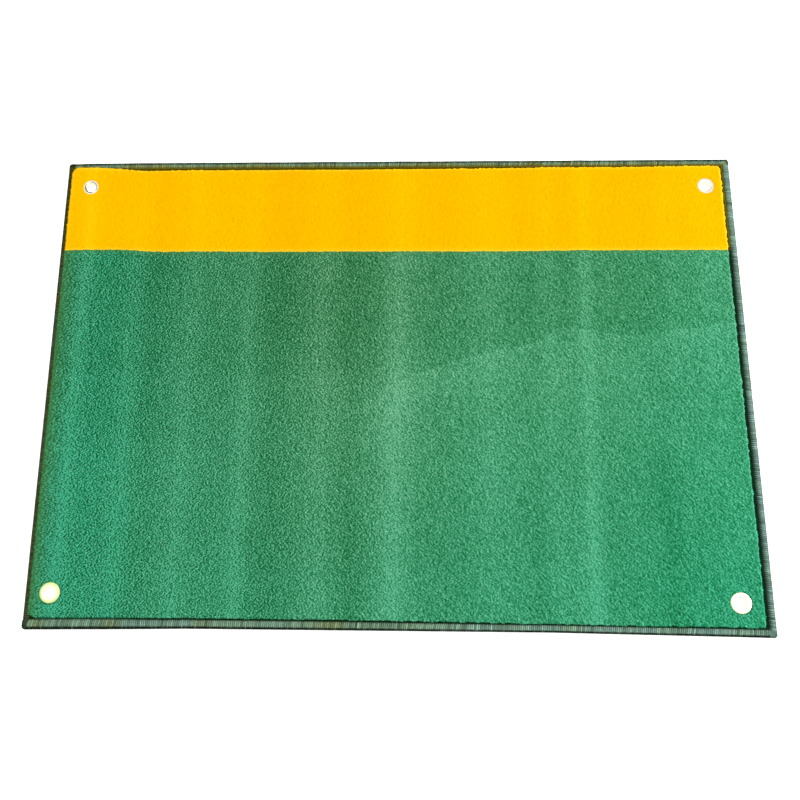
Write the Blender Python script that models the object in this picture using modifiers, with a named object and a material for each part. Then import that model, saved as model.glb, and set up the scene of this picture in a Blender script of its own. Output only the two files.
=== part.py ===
"""Golf hitting mat: a cut-pile carpet mat with a yellow tee band, serged edges and four eyelets.

Metres, +Z up. The origin is the middle of the underside. +X runs along the long side, and
+Y runs towards the yellow band. The layers are stacked from the ground up, and their outer
rim sits in the channel of the yarn serging that is whipped round every edge.
"""

import math

import bmesh
import bpy
from mathutils import Matrix

# Plan
MAT_WIDTH = 0.900
MAT_DEPTH = 0.620
YELLOW_BAND_START = 0.176

# Clearance kept between pieces that touch
FIT_GAP = 0.0003

# Layer thicknesses, from the ground up
BASE_THICKNESS = 0.0025
LATEX_THICKNESS = 0.0006
BACKING_THICKNESS = 0.0007
PILE_HEIGHT = 0.0055

# Serging: a channel of whipped yarn that closes over the rim of the layers
SERGING_WIDTH = 0.0098
SERGING_HEIGHT = 0.0082
SERGING_WALL = 0.0013
SERGING_OUTER_ROUND = 0.0030
SERGING_INNER_ROUND = 0.0010
GROOVE_WIDTH = 0.0036

# Needle thread that runs in the groove beside the serging
THREAD_RADIUS = 0.0004

# Eyelets: a brass tube with a domed flange on top, clinched over a washer below
EYELET_CENTRES = {
    "front_left": (-0.4185, -0.267),
    "front_right": (0.410, -0.271),
    "rear_left": (-0.415, 0.2715),
    "rear_right": (0.4155, 0.269),
}
BORE_RADIUS = 0.00635
EYELET_WALL = 0.0006
FLANGE_RADIUS = 0.0135
FLANGE_TOP = 0.0086
FLANGE_FLAT_INNER = 0.0078
FLANGE_FLAT_OUTER = 0.0115
CLINCH_RADIUS = 0.0092
CLINCH_LOW = 0.0001
WASHER_INNER_RADIUS = 0.0074
WASHER_OUTER_RADIUS = 0.0130
WASHER_THICKNESS = 0.0006
LAYER_HOLE_RADIUS = 0.0076
PILE_RECESS_RADIUS = 0.0140
COUNTERBORE_RADIUS = 0.0138
ROUND_STEPS = 32
ARC_STEPS = 3

# Overshoot of a cutter past the face that it cuts through
OVERSHOOT = 0.002

# Heights worked out from the stack
BASE_TOP = BASE_THICKNESS
LATEX_LOW = BASE_TOP + FIT_GAP
LATEX_TOP = LATEX_LOW + LATEX_THICKNESS
BACKING_LOW = LATEX_TOP + FIT_GAP
BACKING_TOP = BACKING_LOW + BACKING_THICKNESS
PILE_LOW = BACKING_TOP + FIT_GAP
PILE_TOP = PILE_LOW + PILE_HEIGHT
CHANNEL_LOW = SERGING_WALL
CHANNEL_TOP = SERGING_HEIGHT - SERGING_WALL
BASE_RIM_LOW = CHANNEL_LOW + FIT_GAP
PILE_RIM_TOP = CHANNEL_TOP - FIT_GAP
CLINCH_TOP = CLINCH_LOW + EYELET_WALL
WASHER_LOW = CLINCH_TOP + FIT_GAP
WASHER_TOP = WASHER_LOW + WASHER_THICKNESS
COUNTERBORE_TOP = WASHER_TOP + FIT_GAP
FLANGE_RIM_LOW = FLANGE_TOP - (FLANGE_RADIUS - FLANGE_FLAT_OUTER)
PILE_RECESS_FLOOR = FLANGE_RIM_LOW - FIT_GAP

# Insets from the mat's outer edge
RIM_INSET = SERGING_WALL + FIT_GAP
BASE_FOOT_INSET = SERGING_WIDTH + FIT_GAP
PILE_INSET = SERGING_WIDTH + GROOVE_WIDTH
THREAD_INSET = SERGING_WIDTH + FIT_GAP + THREAD_RADIUS

HALF_WIDTH = MAT_WIDTH / 2
HALF_DEPTH = MAT_DEPTH / 2

# Slot: base colour, roughness, metallic
FINISHES = {
    "rubber": ((0.030, 0.031, 0.030, 1), 0.80, 0.0),
    "latex": ((0.420, 0.400, 0.330, 1), 0.60, 0.0),
    "backing_cloth": ((0.330, 0.310, 0.250, 1), 0.90, 0.0),
    "green_pile": ((0.053, 0.296, 0.145, 1), 0.90, 0.0),
    "yellow_pile": ((0.991, 0.546, 0.001, 1), 0.90, 0.0),
    "serging_yarn": ((0.130, 0.190, 0.120, 1), 0.85, 0.0),
    "thread": ((0.030, 0.070, 0.045, 1), 0.80, 0.0),
    "brass": ((0.830, 0.730, 0.470, 1), 0.25, 1.0),
}


def clear_scene():
    for old in list(bpy.data.objects):
        bpy.data.objects.remove(old, do_unlink=True)


def new_collection(name):
    collection = bpy.data.collections.new(name)
    bpy.context.scene.collection.children.link(collection)
    return collection


def make_materials():
    made = {}
    for name, (colour, roughness, metallic) in FINISHES.items():
        material = bpy.data.materials.new(name)
        material.use_nodes = True
        shader = material.node_tree.nodes["Principled BSDF"]
        shader.inputs["Base Color"].default_value = colour
        shader.inputs["Roughness"].default_value = roughness
        shader.inputs["Metallic"].default_value = metallic
        material.diffuse_color = colour
        made[name] = material
    return made


def object_from_bmesh(shape, name, collection):
    mesh = bpy.data.meshes.new(name)
    shape.to_mesh(mesh)
    shape.free()
    made = bpy.data.objects.new(name, mesh)
    collection.objects.link(made)
    return made


def add_block(shape, low, high):
    """Add a box between two corners to a bmesh, and return its vertices."""
    size = [b - a for a, b in zip(low, high)]
    middle = [(a + b) / 2 for a, b in zip(low, high)]
    place = Matrix.Translation(middle) @ Matrix.Diagonal((*size, 1))
    return bmesh.ops.create_cube(shape, size=1, matrix=place)["verts"]


def block(name, low, high, collection):
    shape = bmesh.new()
    add_block(shape, low, high)
    return object_from_bmesh(shape, name, collection)


def slab(name, inset, low, high, collection):
    """A slab that covers the mat's plan, less an inset all round."""
    x = HALF_WIDTH - inset
    y = HALF_DEPTH - inset
    return block(name, (-x, -y, low), (x, y, high), collection)


def eyelet_drill(name, radius, low, high):
    """One cutter with a cylinder at each eyelet."""
    shape = bmesh.new()
    for x, y in EYELET_CENTRES.values():
        bmesh.ops.create_cone(
            shape,
            cap_ends=True,
            segments=ROUND_STEPS,
            radius1=radius,
            radius2=radius,
            depth=high - low,
            matrix=Matrix.Translation((x, y, (low + high) / 2)),
        )
    return as_cutter(object_from_bmesh(shape, name, cutters))


def as_cutter(made):
    made.hide_render = True
    made.display_type = "WIRE"
    return made


def boolean(target, operation, tool):
    modifier = target.modifiers.new(operation.lower(), "BOOLEAN")
    modifier.operation = operation
    modifier.solver = "EXACT"
    modifier.object = tool


def finish(made, slot):
    made.data.materials.clear()
    made.data.materials.append(materials[slot])


def arc(centre, radius, start, end, steps=ARC_STEPS):
    """Points (r, z) on an arc from one angle to another, in degrees, both ends included."""
    points = []
    for step in range(steps + 1):
        angle = math.radians(start + (end - start) * step / steps)
        points.append((centre[0] + radius * math.cos(angle), centre[1] + radius * math.sin(angle)))
    return points


def turned_mesh(name, profile):
    """A mesh that holds a closed (r, z) profile, which goes down its outer side."""
    mesh = bpy.data.meshes.new(name)
    count = len(profile)
    edges = [(index, (index + 1) % count) for index in range(count)]
    mesh.from_pydata([(r, 0, z) for r, z in profile], edges, [])
    return mesh


def turned(name, mesh, centre, slot):
    """Turn a profile mesh about the vertical axis through an eyelet's centre."""
    made = bpy.data.objects.new(name, mesh)
    mat.objects.link(made)
    made.location = (centre[0], centre[1], 0)
    screw = made.modifiers.new("turn", "SCREW")
    screw.axis = "Z"
    screw.angle = math.tau
    screw.steps = ROUND_STEPS
    screw.render_steps = ROUND_STEPS
    screw.use_merge_vertices = True
    screw.merge_threshold = 0.00001
    screw.use_smooth_shade = True
    finish(made, slot)
    return made


def make_rubber_base():
    """The foot lies on the ground, and a thinner rim reaches into the serging."""
    base = slab("rubber_base", BASE_FOOT_INSET, 0, BASE_TOP, mat)
    rim = as_cutter(slab("base_rim", RIM_INSET, BASE_RIM_LOW, BASE_TOP, cutters))
    boolean(base, "UNION", rim)
    counterbores = eyelet_drill("washer_counterbores", COUNTERBORE_RADIUS, -OVERSHOOT, COUNTERBORE_TOP)
    boolean(base, "DIFFERENCE", counterbores)
    boolean(base, "DIFFERENCE", layer_holes)
    finish(base, "rubber")


def make_thin_layers():
    for name, low, high, slot in (
        ("latex_coat", LATEX_LOW, LATEX_TOP, "latex"),
        ("primary_backing", BACKING_LOW, BACKING_TOP, "backing_cloth"),
    ):
        layer = slab(name, RIM_INSET, low, high, mat)
        boolean(layer, "DIFFERENCE", layer_holes)
        finish(layer, slot)


def make_pile():
    """Both pile colours share one outline: full height inside, crushed flat under the serging."""
    half_gap = FIT_GAP / 2
    bands = (
        ("green_pile", -HALF_DEPTH, YELLOW_BAND_START - half_gap),
        ("yellow_pile", YELLOW_BAND_START + half_gap, HALF_DEPTH),
    )
    rim_cutter = pile_rim_cutter()
    recesses = eyelet_drill("pile_recesses", PILE_RECESS_RADIUS, PILE_RECESS_FLOOR, PILE_TOP + OVERSHOOT)
    for name, front, rear in bands:
        x = HALF_WIDTH - RIM_INSET
        low = (-x, max(front, -HALF_DEPTH + RIM_INSET), PILE_LOW)
        high = (x, min(rear, HALF_DEPTH - RIM_INSET), PILE_TOP)
        pile = block(name, low, high, mat)
        boolean(pile, "DIFFERENCE", rim_cutter)
        boolean(pile, "DIFFERENCE", recesses)
        boolean(pile, "DIFFERENCE", layer_holes)
        finish(pile, name)


def pile_rim_cutter():
    """A rectangular ring that takes the pile down to its crushed height along every edge."""
    top = PILE_TOP + OVERSHOOT
    ring = slab("pile_rim", -OVERSHOOT, PILE_RIM_TOP, top, cutters)
    core = slab("pile_rim_core", PILE_INSET, PILE_RIM_TOP - OVERSHOOT, top + OVERSHOOT, cutters)
    boolean(ring, "DIFFERENCE", as_cutter(core))
    return as_cutter(ring)


def make_serging():
    """Four channels in pinwheel order: each closes one corner and butts against the next.

    Each is built along +X with its outside towards -Y, and then turned round the mat.
    """
    sides = (
        ("front", 0, HALF_WIDTH, HALF_DEPTH),
        ("right", 90, HALF_DEPTH, HALF_WIDTH),
        ("rear", 180, HALF_WIDTH, HALF_DEPTH),
        ("left", 270, HALF_DEPTH, HALF_WIDTH),
    )
    for side, turn, half_run, half_across in sides:
        closed_end = -half_run
        open_end = half_run - SERGING_WIDTH - FIT_GAP
        outside = -half_across
        inside = outside + SERGING_WIDTH
        shape = bmesh.new()
        add_block(shape, (closed_end, outside, 0), (open_end, inside, SERGING_HEIGHT))
        round_long_edges(shape, outside, SERGING_OUTER_ROUND, keep_low=True)
        round_long_edges(shape, inside, SERGING_INNER_ROUND, keep_low=False)
        bar = object_from_bmesh(shape, "serging_" + side, mat)
        slot_low = (closed_end + SERGING_WALL, outside + SERGING_WALL, CHANNEL_LOW)
        slot_high = (open_end + OVERSHOOT, inside + OVERSHOOT, CHANNEL_TOP)
        channel = as_cutter(block("channel_" + side, slot_low, slot_high, cutters))
        boolean(bar, "DIFFERENCE", channel)
        for turned_piece in (bar, channel):
            turned_piece.rotation_euler.z = math.radians(turn)
        finish(bar, "serging_yarn")
        make_stitch_thread(side, turn, half_run, half_across)


def round_long_edges(shape, y, radius, keep_low):
    """Bevel the edges that run along X on one side; keep_low takes in the lower one too."""
    chosen = []
    for edge in shape.edges:
        first, second = (vertex.co for vertex in edge.verts)
        along = abs(first.x - second.x) > SERGING_WIDTH
        on_side = abs(first.y - y) < FIT_GAP and abs(second.y - y) < FIT_GAP
        high = first.z > SERGING_HEIGHT / 2
        if along and on_side and (high or keep_low):
            chosen.append(edge)
    bmesh.ops.bevel(shape, geom=chosen, offset=radius, segments=4, profile=0.5, affect="EDGES")


def make_stitch_thread(side, turn, half_run, half_across):
    """A needle thread beside the serging, on the crushed rim of the pile."""
    height = PILE_RIM_TOP + FIT_GAP + THREAD_RADIUS
    end = half_run - THREAD_INSET - 2 * THREAD_RADIUS - FIT_GAP
    curve = bpy.data.curves.new("stitch_thread_" + side, "CURVE")
    curve.dimensions = "3D"
    curve.bevel_depth = THREAD_RADIUS
    curve.bevel_resolution = 2
    curve.use_fill_caps = True
    spline = curve.splines.new("POLY")
    spline.points.add(1)
    for point, x in zip(spline.points, (-end, end)):
        point.co = (x, THREAD_INSET - half_across, height, 1)
    thread = bpy.data.objects.new("stitch_thread_" + side, curve)
    thread.rotation_euler.z = math.radians(turn)
    mat.objects.link(thread)
    finish(thread, "thread")


def eyelet_profile():
    """Section of the eyelet, clockwise from the top of its bore: over the flange, down the
    outside of the barrel, round the clinched lip and back up the bore.
    """
    wall = EYELET_WALL
    barrel = BORE_RADIUS + wall
    throat = FLANGE_FLAT_INNER - BORE_RADIUS
    shoulder = FLANGE_RADIUS - FLANGE_FLAT_OUTER
    mouth = (FLANGE_FLAT_INNER, FLANGE_TOP - throat)
    rim = (FLANGE_FLAT_OUTER, FLANGE_TOP - shoulder)
    lip = (barrel + wall, CLINCH_TOP + wall)
    points = arc(mouth, throat, 180, 90)
    points += arc(rim, shoulder, 90, 0)
    points += arc(rim, shoulder - wall, 0, 90)
    points += arc(mouth, throat - wall, 90, 180)
    points += arc(lip, wall, 180, 270)
    points += arc((CLINCH_RADIUS - wall / 2, CLINCH_LOW + wall / 2), wall / 2, 90, -90)
    points += arc(lip, 2 * wall, 270, 180)
    return points


def washer_profile():
    return [
        (WASHER_INNER_RADIUS, WASHER_TOP),
        (WASHER_OUTER_RADIUS, WASHER_TOP),
        (WASHER_OUTER_RADIUS, WASHER_LOW),
        (WASHER_INNER_RADIUS, WASHER_LOW),
    ]


def make_eyelets():
    eyelet_mesh = turned_mesh("eyelet_section", eyelet_profile())
    washer_mesh = turned_mesh("washer_section", washer_profile())
    for corner, centre in EYELET_CENTRES.items():
        turned("eyelet_" + corner, eyelet_mesh, centre, "brass")
        turned("washer_" + corner, washer_mesh, centre, "brass")


clear_scene()
materials = make_materials()
mat = new_collection("golf_hitting_mat")
cutters = new_collection("cutters")
layer_holes = eyelet_drill("layer_holes", LAYER_HOLE_RADIUS, -OVERSHOOT, PILE_TOP + 2 * OVERSHOOT)
make_rubber_base()
make_thin_layers()
make_pile()
make_serging()
make_eyelets()
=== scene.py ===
import math

import bpy
import numpy as np
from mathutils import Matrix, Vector


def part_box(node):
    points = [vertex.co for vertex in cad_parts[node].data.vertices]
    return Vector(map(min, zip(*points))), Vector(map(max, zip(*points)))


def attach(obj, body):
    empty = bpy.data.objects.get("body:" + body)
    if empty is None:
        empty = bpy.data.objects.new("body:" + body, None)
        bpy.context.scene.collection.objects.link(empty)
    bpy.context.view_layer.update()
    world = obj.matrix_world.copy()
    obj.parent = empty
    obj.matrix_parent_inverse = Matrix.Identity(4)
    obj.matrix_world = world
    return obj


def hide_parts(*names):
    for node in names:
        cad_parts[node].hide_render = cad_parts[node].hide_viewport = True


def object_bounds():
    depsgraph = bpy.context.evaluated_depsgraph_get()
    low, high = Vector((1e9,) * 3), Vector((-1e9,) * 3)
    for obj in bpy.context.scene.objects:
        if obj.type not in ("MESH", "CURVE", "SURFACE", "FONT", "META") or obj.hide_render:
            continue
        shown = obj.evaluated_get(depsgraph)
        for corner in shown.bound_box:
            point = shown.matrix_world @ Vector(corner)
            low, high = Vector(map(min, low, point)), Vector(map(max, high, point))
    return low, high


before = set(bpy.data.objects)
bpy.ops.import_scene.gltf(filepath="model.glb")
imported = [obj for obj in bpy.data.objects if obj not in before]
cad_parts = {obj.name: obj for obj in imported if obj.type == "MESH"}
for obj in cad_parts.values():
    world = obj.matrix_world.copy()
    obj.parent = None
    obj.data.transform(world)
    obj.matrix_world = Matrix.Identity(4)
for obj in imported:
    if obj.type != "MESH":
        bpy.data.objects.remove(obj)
cad_low, cad_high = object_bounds()

# All lengths are in metres. Everything random comes from this one generator, in order.
MM = 0.001
random = np.random.default_rng(20)

HALF_WIDTH = float(cad_high[0])
HALF_DEPTH = float(cad_high[1])
CORNERS = ("front_left", "front_right", "rear_left", "rear_right")


# --- places read from the frame


def node_box(node):
    low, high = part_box(node)
    return np.array(low, float), np.array(high, float)


# The centre of each eyelet in the plan
EYELETS = {corner: sum(node_box("eyelet_" + corner))[:2] / 2 for corner in CORNERS}
PILE_TOP = float(node_box("green_pile")[1][2])
SERGING_LOW, SERGING_HIGH = node_box("serging_front")
SERGING_TOP = float(SERGING_HIGH[2])
SERGING_WIDTH = float(SERGING_HIGH[1] - SERGING_LOW[1])
RIM_HALF_WIDTH = float(node_box("rubber_base")[1][0])
RIM_HALF_DEPTH = float(node_box("rubber_base")[1][1])
FIT_GAP = 0.3 * MM


# --- smooth curves and random fields


def smooth_step(value):
    value = np.clip(value, 0, 1)
    return value * value * (3 - 2 * value)


def read_off(table, x):
    """The value at x of a line through a table's points."""
    return np.interp(x, *np.transpose(table))


class Field:
    """Smooth random values between -1 and 1 over the plan, or along a line when y is 0."""

    SIDE = 256

    def __init__(self, scale):
        self.scale = scale
        self.table = random.uniform(-1, 1, (self.SIDE, self.SIDE))

    def __call__(self, x, y=0.0):
        x, y = np.broadcast_arrays(np.asarray(x, float) / self.scale, np.asarray(y, float) / self.scale)
        column, row = np.floor(x).astype(int), np.floor(y).astype(int)
        across, up = smooth_step(x - column), smooth_step(y - row)

        def corner(i, j):
            return self.table[(row + j) % self.SIDE, (column + i) % self.SIDE]

        lower = corner(0, 0) * (1 - across) + corner(1, 0) * across
        upper = corner(0, 1) * (1 - across) + corner(1, 1) * across
        return lower * (1 - up) + upper * up


# --- how the mat lies

# The soft ridges and troughs left from rolling: x at the front edge, x at the rear edge, half
# width, and strength at the front edge, the middle and the rear edge.
RIDGES = (
    (-0.414, -0.412, 0.010, 2.6, 2.5, 2.2),
    (-0.345, -0.343, 0.012, 1.5, 1.2, 0.3),
    (-0.318, -0.312, 0.016, -0.4, -0.8, -1.3),
    (-0.270, -0.266, 0.012, 1.5, 0.8, 0.8),
    (-0.196, -0.188, 0.011, 1.9, 1.2, 0.9),
    (-0.160, -0.145, 0.022, -0.6, -0.6, -0.9),
    (-0.095, -0.092, 0.018, 1.1, 0.8, 0.8),
    (-0.055, -0.058, 0.014, -0.7, -0.3, -0.6),
    (-0.006, 0.008, 0.017, 2.3, 1.8, 1.2),
    (0.060, 0.062, 0.025, -0.4, -0.2, -0.6),
    (0.120, 0.122, 0.022, 0.7, 0.7, 0.9),
    (0.175, 0.172, 0.012, -0.6, -0.2, -0.5),
    (0.197, 0.198, 0.010, 0.7, 0.4, 0.8),
    (0.222, 0.224, 0.009, 0.3, 0.0, -0.8),
    (0.238, 0.250, 0.010, 2.0, 1.2, 1.5),
    (0.335, 0.330, 0.015, -1.0, -0.3, -0.4),
    (0.355, 0.357, 0.010, 0.2, 0.3, 0.7),
    (0.408, 0.410, 0.020, 0.5, 0.4, 1.4),
)
RIDGE_HEIGHT = 0.40 * MM
EYELET_STILL = 0.028

# How far the front edge is drawn in from straight, in millimetres at places x along it
FRONT_HOLLOW = (
    (-0.45, -0.6), (-0.40, 0.1), (-0.33, 1.0), (-0.25, 2.4), (-0.12, 2.5), (0.19, 2.7),
    (0.26, 1.8), (0.33, 1.0), (0.40, 0.2), (0.45, -0.6),
)
EDGE_PULL_REACH = 0.10
CORNER_PULL = 1.5 * MM
CORNER_PULL_WIDTH = 0.045


def ridge_shapes(x, y):
    """Each ridge's strength at a place, after its falling-off to the sides, one at a time."""
    t = np.clip(0.5 + np.asarray(y) / (2 * HALF_DEPTH), 0, 1)
    for front_x, rear_x, width, front, middle, rear in RIDGES:
        centre = front_x + (rear_x - front_x) * t
        strength = front + (middle - front) * smooth_step(2 * t) + (rear - middle) * smooth_step(2 * t - 1)
        yield strength / np.cosh((x - centre) / width) ** 2


def wave_height(x, y):
    """How far the ridges lift the mat off the ground: nothing near the eyelets."""
    x, y = np.broadcast_arrays(np.asarray(x, float), np.asarray(y, float))
    height = RIDGE_HEIGHT * sum(np.clip(shape, 0, None) for shape in ridge_shapes(x, y))
    for centre in EYELETS.values():
        away = np.hypot(x - centre[0], y - centre[1])
        height = height * smooth_step((away / EYELET_STILL - 0.5) / 1.5)
    return height


def edge_pull(x, y):
    """The front edge is a little hollow between its corners, and the rear left corner is drawn in."""
    hollow = MM * read_off(FRONT_HOLLOW, x)
    hollow = hollow * np.exp(-(np.asarray(y) + HALF_DEPTH) / EDGE_PULL_REACH)
    corner = CORNER_PULL * np.exp(-(np.asarray(x) + HALF_WIDTH) / CORNER_PULL_WIDTH)
    return hollow - corner * np.exp(-(HALF_DEPTH - np.asarray(y)) / EDGE_PULL_REACH)


def laid(points):
    """Points of the flat mat moved to where they are on the mat as it lies."""
    x, y, z = points[..., 0], points[..., 1], points[..., 2]
    return np.stack((x, y + edge_pull(x, y), z + wave_height(x, y)), -1)


# --- mesh helpers


def new_piece(name, points, faces, material, smooth=True, attributes=None):
    """A mesh object from points and faces, with a number for each point under each attribute's name."""
    mesh = bpy.data.meshes.new(name)
    mesh.from_pydata(np.asarray(points).tolist(), [], faces)
    for key, values in (attributes or {}).items():
        layer = mesh.attributes.new(key, "FLOAT", "POINT")
        layer.data.foreach_set("value", np.asarray(values, np.float32).ravel())
    if smooth:
        mesh.shade_smooth()
    mesh.materials.append(material)
    piece = bpy.data.objects.new(name, mesh)
    bpy.context.scene.collection.objects.link(piece)
    return piece


def stand_for(piece, node):
    """Show a piece in place of a CAD node."""
    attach(piece, "root")
    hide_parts(node)


def even_lines(low, high, step):
    return np.linspace(low, high, int(round((high - low) / step)) + 1)


def grid_quads(rows, columns):
    """Faces of a grid of points, wound to look up when rows go +Y and columns go +X."""
    index = np.arange(rows * columns).reshape(rows, columns)
    corners = (index[:-1, :-1], index[:-1, 1:], index[1:, 1:], index[1:, :-1])
    return np.stack(corners, -1).reshape(-1, 4)


def used_only(points, quads, attributes):
    """The same faces and attributes, without the points that no face uses."""
    used, renumbered = np.unique(quads, return_inverse=True)
    kept = {key: np.ravel(values)[used] for key, values in attributes.items()}
    return points[used], renumbered.reshape(quads.shape), kept


def tube_faces(rings, sides):
    """Faces round rings of points, with an end face on each end."""
    index = np.arange(rings * sides).reshape(rings, sides)
    around = np.roll(index, -1, axis=1)
    quads = np.stack((index[:-1], around[:-1], around[1:], index[1:]), -1).reshape(-1, 4)
    ends = [index[0, ::-1].tolist(), index[-1].tolist()]
    return quads.tolist() + ends


def closed_slab(name, high, step, underside, material):
    """A closed sheet up to a box's upper corner, over a function of x and y, with holes at the eyelets."""
    x, y = np.meshgrid(*(even_lines(-half, half, step) for half in high[:2]))
    bottom = laid(np.stack((x, y, underside(x, y)), -1)).reshape(-1, 3)
    top = laid(np.stack((x, y, np.full_like(x, high[2])), -1)).reshape(-1, 3)
    solid = ~near_eyelet(x, y)
    quads = grid_quads(*x.shape)
    quads = quads[solid.ravel()[quads].all(axis=1)]
    sides = boundary_walls(quads, len(bottom))
    faces = np.concatenate((quads[:, ::-1], quads + len(bottom), sides))
    points, faces, _ = used_only(np.concatenate((bottom, top)), faces, {})
    return new_piece(name, points, faces.tolist(), material, smooth=False)


def boundary_walls(quads, count):
    """Side faces that join a grid's open edges to the same edges of its copy above."""
    edges = np.stack((quads, np.roll(quads, -1, axis=1)), -1).reshape(-1, 2)
    keys = np.sort(edges, axis=1)
    _, first, uses = np.unique(keys, axis=0, return_index=True, return_counts=True)
    open_edges = edges[first[uses == 1]]
    a, b = open_edges[:, 0], open_edges[:, 1]
    return np.stack((a, b, b + count, a + count), -1)


# The hole that each eyelet's barrel and washer need in the hidden layers
HIDDEN_HOLE = 10.2 * MM


def near_eyelet(x, y, radius=HIDDEN_HOLE):
    inside = np.zeros(np.shape(x), bool)
    for centre in EYELETS.values():
        inside |= np.hypot(x - centre[0], y - centre[1]) < radius
    return inside


# --- material helpers


def new_material(name):
    material = bpy.data.materials.new(name)
    material.use_nodes = True
    return material, material.node_tree, material.node_tree.nodes["Principled BSDF"]


def feed(tree, socket, value):
    """Link another node's output to a socket, or set the socket to a number or a colour."""
    if isinstance(value, bpy.types.NodeSocket):
        tree.links.new(value, socket)
    else:
        socket.default_value = (*value, 1) if isinstance(value, tuple) else value


def attribute_of(tree, name):
    node = tree.nodes.new("ShaderNodeAttribute")
    node.attribute_name = name
    return node.outputs["Fac"]


def object_place(tree):
    return tree.nodes.new("ShaderNodeTexCoord").outputs["Object"]


def noise(tree, place, scale, detail=2.0, roughness=0.5, stretch=(1, 1, 1)):
    mapping = tree.nodes.new("ShaderNodeMapping")
    mapping.inputs["Scale"].default_value = stretch
    tree.links.new(place, mapping.inputs["Vector"])
    node = tree.nodes.new("ShaderNodeTexNoise")
    node.inputs["Scale"].default_value = scale
    node.inputs["Detail"].default_value = detail
    node.inputs["Roughness"].default_value = roughness
    tree.links.new(mapping.outputs["Vector"], node.inputs["Vector"])
    return node.outputs["Fac"]


def maths(tree, operation, first, second=0.0, third=0.0):
    node = tree.nodes.new("ShaderNodeMath")
    node.operation = operation
    for socket, value in zip(node.inputs, (first, second, third)):
        feed(tree, socket, value)
    return node.outputs["Value"]


def ramp(tree, factor, stops):
    node = tree.nodes.new("ShaderNodeValToRGB")
    elements = node.color_ramp.elements
    while len(elements) < len(stops):
        elements.new(0.5)
    for element, (position, colour) in zip(elements, stops):
        element.position = position
        element.color = (*colour, 1)
    tree.links.new(factor, node.inputs["Fac"])
    return node.outputs["Color"]


def mix(tree, factor, first, second, kind="MIX"):
    node = tree.nodes.new("ShaderNodeMix")
    node.data_type = "RGBA"
    node.blend_type = kind
    for socket, value in zip((0, 6, 7), (factor, first, second)):
        feed(tree, node.inputs[socket], value)
    return node.outputs[2]


def tinted(tree, colour, tints):
    """The colour with others mixed in, each by the attribute of its name."""
    for name, tint in tints.items():
        colour = mix(tree, attribute_of(tree, name), colour, tint)
    return colour


def paint(tree, shader, colour, roughness, others=None):
    for name, value in {"Base Color": colour, "Roughness": roughness, **(others or {})}.items():
        feed(tree, shader.inputs[name], value)


def bump(tree, shader, height, strength, distance):
    node = tree.nodes.new("ShaderNodeBump")
    node.inputs["Strength"].default_value = strength
    node.inputs["Distance"].default_value = distance
    tree.links.new(height, node.inputs["Height"])
    tree.links.new(node.outputs["Normal"], shader.inputs["Normal"])


# --- materials


# What the pile's colour is multiplied by where it looks most vivid
MOST_VIVID = (0.20, 1.0, 1.06)


def pile_material(name, root, dark, body, light, edge_tint, fringe, grain, sheen):
    """Cut yarn: painted shade at the roots, lighter at the tips, each tuft a little different, and painted
    shade along the left side.
    """
    material, tree, shader = new_material(name)
    fibres = noise(tree, object_place(tree), 850, 3.0, 0.7)
    tone = maths(tree, "MULTIPLY_ADD", fibres, grain, -grain / 2)
    tone = maths(tree, "ADD", attribute_of(tree, "tone"), tone)
    tips = ramp(tree, tone, ((0.0, dark), (0.5, body), (1.0, light)))
    tips = mix(tree, attribute_of(tree, "vivid"), tips, MOST_VIVID, "MULTIPLY")
    # Painted shade at the roots, on the crushed ledge and round the eyelets, and along the left side,
    # where the pile leans away from the light
    colour = tinted(tree, tips, {"edge_tint": edge_tint, "fringe": fringe, "root_shade": root})
    gloss = {"Specular IOR Level": sheen, "Sheen Weight": sheen, "Sheen Roughness": 0.5}
    paint(tree, shader, colour, 0.95, gloss)
    bump(tree, shader, fibres, 0.6, 0.0006)
    return material


# From bluish through grey-green to olive
YARN_COLOURS = (
    (0.0, (0.138, 0.232, 0.200)),
    (0.4, (0.134, 0.222, 0.148)),
    (0.65, (0.142, 0.190, 0.090)),
    (1.0, (0.150, 0.134, 0.016)),
)


def yarn_material():
    """Whipping yarn: grey-green, in places bluish or olive, and nearly black where shade is painted: where
    it turns under, between its turns and on its sides away from the light.
    """
    material, tree, shader = new_material("serging_yarn")
    strands = noise(tree, object_place(tree), 650, 3.0, 0.7)
    body = ramp(tree, attribute_of(tree, "olive"), YARN_COLOURS)
    tone = maths(tree, "ADD", attribute_of(tree, "tone"), maths(tree, "MULTIPLY_ADD", strands, 1.2, -0.6))
    tone = ramp(tree, tone, ((0.0, (0.25,) * 3), (0.5, (0.95,) * 3), (1.0, (1.9,) * 3)))
    body = mix(tree, 1.0, body, tone, "MULTIPLY")
    # Painted shade: nearly black under the edge, between the turns and on the sides away from the light
    body = tinted(tree, body, {"low": (0.004, 0.010, 0.004)})
    paint(tree, shader, body, 0.8, {"Specular IOR Level": 0.03})
    bump(tree, shader, strands, 0.6, 0.0005)
    return material


def thread_material():
    """Waxed needle thread: nearly black, with a painted olive reflection of the yellow pile beside it."""
    material, tree, shader = new_material("stitch_thread")
    strands = noise(tree, object_place(tree), 330, 2.0)
    colour = ramp(tree, strands, ((0.4, (0.001, 0.004, 0.001)), (0.7, (0.005, 0.036, 0.012))))
    colour = tinted(tree, colour, {"olive": (0.110, 0.100, 0.012)})
    paint(tree, shader, colour, 0.9, {"Specular IOR Level": 0.05})
    bump(tree, shader, strands, 0.5, 0.0003)
    return material


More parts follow.
